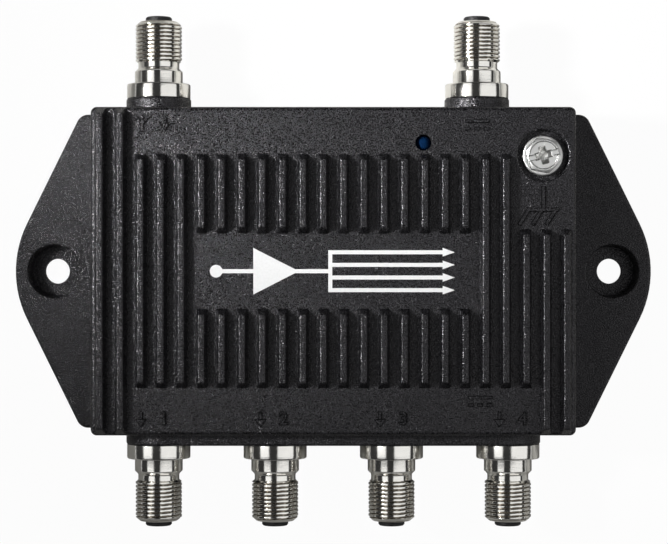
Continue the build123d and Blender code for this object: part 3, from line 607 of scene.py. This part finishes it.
def screw_rows(seat, tip, top):
    """Rows of the screw from its tip up to the middle of its head, as functions of the angle."""
    rows = []
    radius = SCREW_THREAD_DIAMETER / 2
    thread_top = seat - 0.5 * THREAD_PITCH
    rows.append(lambda angle: (POINT_SHARE * radius, tip))
    rows.append(lambda angle: (POINT_EDGE_SHARE * radius, tip + POINT_EDGE_HEIGHT))
    steps = int((thread_top - tip) / THREAD_PITCH * ROWS_PER_PITCH)
    for step in range(1, steps):
        height = tip + (thread_top - tip) * step / steps

        def shank(angle, height=height):
            share = thread_share(thread_phase(height - tip, angle))
            cone = POINT_CONE_SHARE * radius + (height - tip) * POINT_CONE_SLOPE
            return min(radius - THREAD_DEPTH * (1 - share), cone), height

        rows.append(shank)
    flange = SCREW_FLANGE_DIAMETER / 2
    flange_top = seat + SCREW_FLANGE_THICKNESS
    outline = rounded(
        [
            (radius, thread_top),
            (radius, seat),
            (flange, seat),
            (flange, flange_top),
            (SCREW_CORNER_RADIUS, flange_top),
        ],
        [0, FLANGE_UNDER_RADIUS, FLANGE_EDGE_RADIUS],
    )
    for point in outline[:-1]:
        rows.append(lambda angle, point=point: (point.x, point.y))
    for spread, rise in HEX_FOOT_SPREADS:
        foot = flange_top + rise
        rows.append(lambda angle, spread=spread, foot=foot: (hex_radius(angle) + spread, foot))

    def top_height(reach, angle):
        crown = max(0.0, reach - CROWN_RADIUS) * math.tan(math.radians(CROWN_ANGLE))
        return top - crown - head_dip(reach * math.cos(angle), reach * math.sin(angle))

    for share in HEX_SIDE_SHARES:

        def side(angle, share=share):
            reach = hex_radius(angle)
            return reach, foot + (top_height(reach, angle) - foot) * share

        rows.append(side)
    for ring in range(HEAD_RINGS):
        share = 1 - ring / HEAD_RINGS
        inset = HEAD_RIM_INSET if ring == 0 else 0.0

        def face(angle, share=share, inset=inset):
            reach = hex_radius(angle) * share - inset
            return reach, top_height(reach, angle)

        rows.append(face)
    return rows


def capped_rows(rows, place, segments):
    """Points and faces of a closed body of revolution whose rows are functions of the angle."""
    vertices = []
    for row in rows:
        for column in range(segments):
            angle = 2 * math.pi * column / segments
            reach, height = row(angle)
            vertices.append(turned(place, reach, angle, height))
    faces = grid_faces(len(rows), segments, False)
    for first, flip in ((0, True), ((len(rows) - 1) * segments, False)):
        ring = vertices[first : first + segments]
        centre = sum(ring, Vector()) / segments
        vertices.append(centre)
        middle = len(vertices) - 1
        for column in range(segments):
            right = (column + 1) % segments
            pair = (first + right, first + column) if flip else (first + column, first + right)
            faces.append((*pair, middle))
    return vertices, faces


screw_low, screw_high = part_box("ground_screw")
screw_x = (screw_low[0] + screw_high[0]) / 2
screw_y = (screw_low[1] + screw_high[1]) / 2
screw_tip = screw_low[2] / MM
screw_seat = screw_tip + SCREW_SHANK
screw_axis = Matrix.Translation((screw_x, screw_y, 0))
vertices, faces = capped_rows(
    screw_rows(screw_seat, screw_tip, screw_high[2] / MM), screw_axis, SCREW_SEGMENTS
)
ground_screw = make_object("ground_screw_threaded", vertices, faces, ZINC, SCREW_SMOOTH_ANGLE)
# Steep faces of the hexagon and of the recess in its top take the darker zinc: painted shade.
ground_screw.data.materials.append(ZINC_PAINTED_SHADE)
for face in ground_screw.data.polygons:
    reach = math.hypot(face.center.x - screw_x, face.center.y - screw_y) / MM
    above_flange = face.center.z / MM > screw_seat + SCREW_FLANGE_THICKNESS
    in_hexagon = reach < SCREW_CORNER_RADIUS
    if above_flange and in_hexagon and face.normal.z < STEEP_HEAD_NORMAL:
        face.material_index = 1
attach(ground_screw, SCREW)
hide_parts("ground_screw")


# Raised signs and white print on the panel


def prism(outline, base, height, draft):
    """Points and faces of one raised shape from its counter-clockwise outline.

    Its top is drawn in by draft, and its foot is sunk below base.
    """
    count = len(outline)
    points = [Vector(point) for point in outline]
    inner = []
    for index, point in enumerate(points):
        before = (point - points[index - 1]).normalized()
        after = (points[(index + 1) % count] - point).normalized()
        normal = Vector((-before.y - after.y, before.x + after.x)).normalized()
        mitre = max(MITRE_LIMIT, normal.dot(Vector((-before.y, before.x))))
        inner.append(point + normal * draft / mitre)
    vertices = []
    for line, level in ((points, base - RELIEF_SINK), (points, base), (inner, base + height)):
        vertices += [(point.x * MM, point.y * MM, level * MM) for point in line]
    faces = [tuple(range(count - 1, -1, -1)), tuple(range(2 * count, 3 * count))]
    for level in (0, 1):
        for index in range(count):
            left, right = level * count + index, level * count + (index + 1) % count
            faces.append((left, right, count + right, count + left))
    return vertices, faces


def stroke(start, end, width):
    """Outline of a straight stroke with square ends."""
    start, end = Vector(start), Vector(end)
    along = (end - start).normalized()
    across = Vector((-along.y, along.x)) * width / 2
    return [start - across, end - across, end + across, start + across]


def disc(centre, radius, steps=40):
    """Outline of a round dot."""
    centre = Vector(centre)
    angles = [2 * math.pi * step / steps for step in range(steps)]
    return [centre + Vector((math.cos(angle), math.sin(angle))) * radius for angle in angles]


def finished_mesh(piece):
    """A mesh of the object as its modifiers or curve settings make it."""
    graph = bpy.context.evaluated_depsgraph_get()
    return bpy.data.meshes.new_from_object(piece.evaluated_get(graph))


def joined(pieces):
    """The first piece with the others added to it. The others are gone."""
    first, *others = pieces
    group = bpy.data.collections.new("joined")
    for other in others:
        group.objects.link(other)
    if others:
        union = first.modifiers.new("union", "BOOLEAN")
        union.operation = "UNION"
        union.operand_type = "COLLECTION"
        union.collection = group
        union.solver = "EXACT"
        mesh = finished_mesh(first)
        first.modifiers.clear()
        first.data = mesh
    bpy.data.collections.remove(group)
    for other in others:
        bpy.data.objects.remove(other)
    return first


def relief(name, outlines, material, height, draft):
    """Shapes on the panel as one piece."""
    shapes = [prism(outline, PANEL_Z, height, draft) for outline in outlines]
    piece = joined([make_object(name, *shape, material) for shape in shapes])
    piece.name = name
    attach(piece, AMPLIFIER)
    return piece


def shade_sides(piece):
    """Painted shade: a near-black, nearly glossless coat on the steep sides of a raised sign,
    darkening its edges.
    """
    mesh = piece.data
    mesh.materials.append(COAT_SIDE_PAINTED_SHADE)
    for face in mesh.polygons:
        if face.normal.z < FLAT_RELIEF_NORMAL:
            face.material_index = 1


def numeral(number, x, y, height):
    """A plain raised numeral centred at x, y."""
    curve = bpy.data.curves.new("numeral", "FONT")
    curve.body = str(number)
    curve.align_x = "CENTER"
    curve.align_y = "CENTER"
    curve.size = height * FONT_SIZE_SHARE * MM
    curve.offset = -RAISED_DRAFT / 4 * MM
    curve.extrude = (RAISED_HEIGHT - RAISED_DRAFT + RELIEF_SINK) / 2 * MM
    curve.bevel_depth = RAISED_DRAFT * MM
    curve.bevel_resolution = 0
    holder = bpy.data.objects.new("numeral", curve)
    bpy.context.collection.objects.link(holder)
    middle = PANEL_Z - RELIEF_SINK + (RAISED_HEIGHT + RELIEF_SINK) / 2
    holder.location = (x * MM, y * MM, middle * MM)
    bpy.context.view_layer.update()
    mesh = finished_mesh(holder)
    mesh.transform(holder.matrix_world)
    bpy.data.objects.remove(holder)
    mesh.materials.clear()
    mesh.materials.append(COAT)
    piece = bpy.data.objects.new(f"numeral_{number}", mesh)
    bpy.context.collection.objects.link(piece)
    shade_sides(piece)
    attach(piece, AMPLIFIER)


def raised(name, outlines):
    """A raised sign of the casting itself."""
    shade_sides(relief(name, outlines, COAT, RAISED_HEIGHT, RAISED_DRAFT))


def moved(outlines, x, y):
    """The outlines moved along X and Y."""
    return [[Vector(point) + Vector((x, y)) for point in outline] for outline in outlines]


def arrow(tail, tip, width, head):
    """Outlines of an arrow's shaft and head."""
    tail, tip = Vector(tail), Vector(tip)
    along = (tip - tail).normalized()
    across = Vector((-along.y, along.x))
    neck = tip - along * head
    half = across * head * ARROW_HEAD_SPREAD
    return [stroke(tail, neck + along * 0.1, width), [neck - half, tip, neck + half]]


# Number and arrow at each output
arrow_tail, arrow_tip = ARROW_ENDS
outwards = arrow((0, arrow_tail), (0, arrow_tip), STROKE, ARROW_HEAD)
for number in (1, 2, 3, 4):
    place, _ = port_place(f"out_{number}_shell")
    x = place.translation.x / MM
    numeral(number, x + NUMERAL_X, -SIGN_Y, NUMERAL_HEIGHT)
    raised(f"output_arrow_{number}", moved(outwards, x + ARROW_X, -SIGN_Y))

# Aerial sign beside the antenna input
aerial = [
    stroke((0, -1.7), (0, 1.5), STROKE),
    stroke((-1.5, 1.5), (0.2, -0.2), STROKE),
    stroke((1.5, 1.5), (-0.2, -0.2), STROKE),
]
aerial += arrow((4.6, 1.6), (4.6, -1.6), STROKE, ARROW_HEAD)
raised("aerial_sign", moved(aerial, AERIAL_SIGN_X, SIGN_Y))

# Direct current signs beside the power input and at the panel's lower edge
direct_current = [stroke((-2.4, 0.75), (2.4, 0.75), STROKE)]
for x in (-1.85, 0, 1.85):
    direct_current.append(stroke((x - 0.55, -0.75), (x + 0.55, -0.75), STROKE))
raised("direct_current_sign_upper", moved(direct_current, *UPPER_CURRENT_SIGN))
raised("direct_current_sign_lower", moved(direct_current, *LOWER_CURRENT_SIGN))

# Chassis earth sign under the earthing screw
earth = [
    stroke((EARTH_X, 12.3), (EARTH_X, 16.8), EARTH_STROKE),
    stroke((38.4, 12.15), (44.5, 12.15), EARTH_STROKE),
]
earth += [stroke((x, 12.5), (x - 2.1, 9.1), EARTH_STROKE) for x in (38.8, 41.4, 44.1)]
raised("chassis_earth_sign", earth)


# White print in the middle: one signal amplified and split four ways


def block_diagram(left, right, half_height):
    """A dot, a line into an amplifier's triangle, and four arrows out of an upright bar."""
    line = 0.8
    dot = 1.25
    head_length = 2.4
    head_half_width = 0.86
    triangle_left = left + 8.6
    triangle_right = triangle_left + 9.0
    bar = triangle_right + 6.2
    line_into_triangle = 0.5
    line_under_tip = 1.5
    line_into_head = 0.4
    reach = half_height - head_half_width
    shapes = [
        disc((left + dot, 0), dot),
        stroke((left + dot, 0), (triangle_left + line_into_triangle, 0), line),
        [(triangle_left, -half_height), (triangle_right, 0), (triangle_left, half_height)],
        stroke((triangle_right - line_under_tip, 0), (bar, 0), line),
        stroke((bar, -reach - line / 2), (bar, reach + line / 2), line),
    ]
    neck = right - head_length
    for share in (-1, -1 / 3, 1 / 3, 1):
        level = share * reach
        shapes.append(stroke((bar, level), (neck + line_into_head, level), line))
        head = [(neck, level - head_half_width), (right, level), (neck, level + head_half_width)]
        shapes.append(head)
    return shapes


diagram = block_diagram(left=-24.4, right=24.0, half_height=4.6)
relief("signal_diagram", diagram, INK, PRINT_HEIGHT, draft=0.0)


# Stage, light and camera

STAGE_HALF = 3.0
FLOOR_TONE = (0.68, 0.67, 0.64, 1)
FLOOR_TONE_TO_THE_EYE = (0.95, 0.95, 0.95, 1)
FLOOR_WHITE_SHARE = 0.965
WORLD_FILL = 0.04
HORIZON_END = 0.07
STUDIO_WALL_TONE = (0.03, 0.03, 0.03, 1)
WHITE = (1, 1, 1, 1)
CAMERA_PLACE = (0.00014, -0.00016, 0.4075)
CAMERA_LENS = 104.9
CAMERA_SENSOR_WIDTH = 36.0


def white_stage_material():
    """White floor that reads as plain white to the eye and still takes a faint shadow."""
    material, tree, shader, _ = new_material("white_floor")
    shader.inputs["Roughness"].default_value = 0.9
    glow = tree.nodes.new("ShaderNodeEmission")
    glow.inputs["Color"].default_value = WHITE
    paths = tree.nodes.new("ShaderNodeLightPath")
    tone = tree.nodes.new("ShaderNodeMix")
    tone.data_type = "RGBA"
    tone.inputs["A"].default_value = FLOOR_TONE
    tone.inputs["B"].default_value = FLOOR_TONE_TO_THE_EYE
    tree.links.new(paths.outputs["Is Camera Ray"], tone.inputs["Factor"])
    tree.links.new(tone.outputs["Result"], shader.inputs["Base Color"])
    share = tree.nodes.new("ShaderNodeMath")
    share.operation = "MULTIPLY"
    share.inputs[1].default_value = FLOOR_WHITE_SHARE
    tree.links.new(paths.outputs["Is Camera Ray"], share.inputs[0])
    mix = tree.nodes.new("ShaderNodeMixShader")
    tree.links.new(share.outputs[0], mix.inputs["Fac"])
    tree.links.new(shader.outputs[0], mix.inputs[1])
    tree.links.new(glow.outputs[0], mix.inputs[2])
    tree.links.new(mix.outputs[0], tree.nodes["Material Output"].inputs["Surface"])
    return material


floor_signs = ((-1, -1), (1, -1), (1, 1), (-1, 1))
floor_corners = [(x * STAGE_HALF, y * STAGE_HALF, 0) for x, y in floor_signs]
floor = make_object("floor", floor_corners, [(0, 1, 2, 3)], white_stage_material())


def background(tree, color, strength=1.0):
    """Background shader of one colour."""
    node = tree.nodes.new("ShaderNodeBackground")
    node.inputs["Color"].default_value = color
    node.inputs["Strength"].default_value = strength
    return node


def either(tree, choice, plain, chosen):
    """Shader that is chosen where choice is 1, and plain elsewhere."""
    node = tree.nodes.new("ShaderNodeMixShader")
    tree.links.new(choice, node.inputs["Fac"])
    tree.links.new(plain.outputs[0], node.inputs[1])
    tree.links.new(chosen.outputs[0], node.inputs[2])
    return node


def studio_world():
    """White to the eye, dim walls above a white horizon in gloss, and a plain level of fill."""
    world = bpy.data.worlds.new("studio")
    bpy.context.scene.world = world
    world.use_nodes = True
    tree = world.node_tree
    tree.nodes.clear()
    place = tree.nodes.new("ShaderNodeTexCoord")
    split = tree.nodes.new("ShaderNodeSeparateXYZ")
    tree.links.new(place.outputs["Generated"], split.inputs[0])
    walls = tree.nodes.new("ShaderNodeValToRGB")
    walls.color_ramp.elements[0].position = 0.0
    walls.color_ramp.elements[0].color = WHITE
    walls.color_ramp.elements[1].position = HORIZON_END
    walls.color_ramp.elements[1].color = STUDIO_WALL_TONE
    tree.links.new(split.outputs["Z"], walls.inputs["Fac"])
    paths = tree.nodes.new("ShaderNodeLightPath")
    gloss = background(tree, WHITE)
    tree.links.new(walls.outputs["Color"], gloss.inputs["Color"])
    fill = background(tree, WHITE, WORLD_FILL)
    unseen = either(tree, paths.outputs["Is Glossy Ray"], fill, gloss)
    seen = either(tree, paths.outputs["Is Camera Ray"], unseen, background(tree, WHITE))
    output = tree.nodes.new("ShaderNodeOutputWorld")
    tree.links.new(seen.outputs[0], output.inputs["Surface"])


studio_world()


def lamp(name, azimuth, rise, distance, width, length, radiance):
    """Rectangular lamp that faces the origin, sizes in metres.

    It stands azimuth degrees from straight up towards +X, and rise degrees towards +Y.
    """
    light = bpy.data.lights.new(name, "AREA")
    light.shape = "RECTANGLE"
    light.size = width
    light.size_y = length
    light.energy = radiance * math.pi * width * length
    holder = bpy.data.objects.new(name, light)
    sideways = Matrix.Rotation(math.radians(azimuth), 4, "Y")
    upwards = Matrix.Rotation(math.radians(-rise), 4, "X")
    holder.matrix_world = sideways @ upwards @ Matrix.Translation((0, 0, distance))
    bpy.context.collection.objects.link(holder)
    return holder


def narrowed(holder, spread, aim):
    """Limits a lamp to a soft cone of spread degrees whose middle points at aim, in mm."""
    holder.data.spread = math.radians(spread)
    place = holder.matrix_world.translation
    toward = Vector(aim) * MM - place
    turn = toward.to_track_quat("-Z", "Y").to_matrix().to_4x4()
    holder.matrix_world = Matrix.Translation(place) @ turn


key = lamp("key", azimuth=-43, rise=7, distance=0.36, width=0.04, length=0.04, radiance=14.4)
narrowed(key, spread=35, aim=(28, 40, 20))
lamp("left_softbox", azimuth=-37, rise=2, distance=0.8, width=0.46, length=0.56, radiance=0.95)
lamp("right_softbox", azimuth=40, rise=0, distance=0.8, width=0.94, length=0.58, radiance=0.82)

camera_data = bpy.data.cameras.new("camera")
camera_data.lens = CAMERA_LENS
camera_data.sensor_width = CAMERA_SENSOR_WIDTH
camera = bpy.data.objects.new("camera", camera_data)
camera.location = CAMERA_PLACE
bpy.context.collection.objects.link(camera)
bpy.context.scene.camera = camera
bpy.context.scene.view_settings.view_transform = "Standard"
